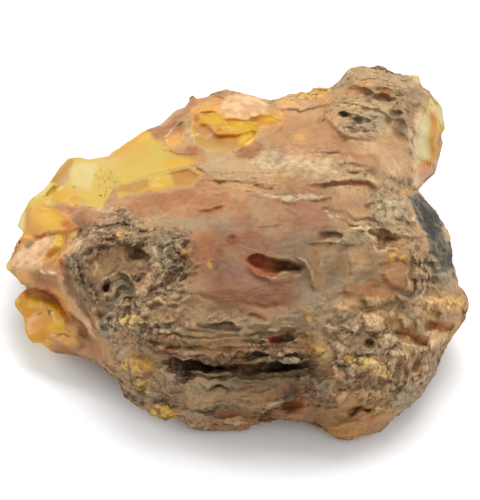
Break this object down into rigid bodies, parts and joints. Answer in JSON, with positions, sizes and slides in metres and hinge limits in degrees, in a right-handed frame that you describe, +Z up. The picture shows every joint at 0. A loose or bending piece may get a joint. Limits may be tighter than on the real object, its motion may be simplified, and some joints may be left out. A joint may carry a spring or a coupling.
{
  "type": "raw amber piece",
  "caption": "Lump of raw amber with clear golden windows, milky pink skin and a brown weathered crust with ledges, pits and a long crevice; rests on a flat face.",
  "frame": {"origin": "on the resting face, under the middle of the lump's bounding box", "axes": "+X to the right along the lump's longest side, +Y away from the steep creviced front, +Z up off the table"},
  "size_m": [0.1097, 0.1024, 0.0448],
  "materials": {
    "raw_amber": "satin"
  },
  "bodies": {
    "root": {"raw_amber": "raw_amber"}
  },
  "joints": []
}
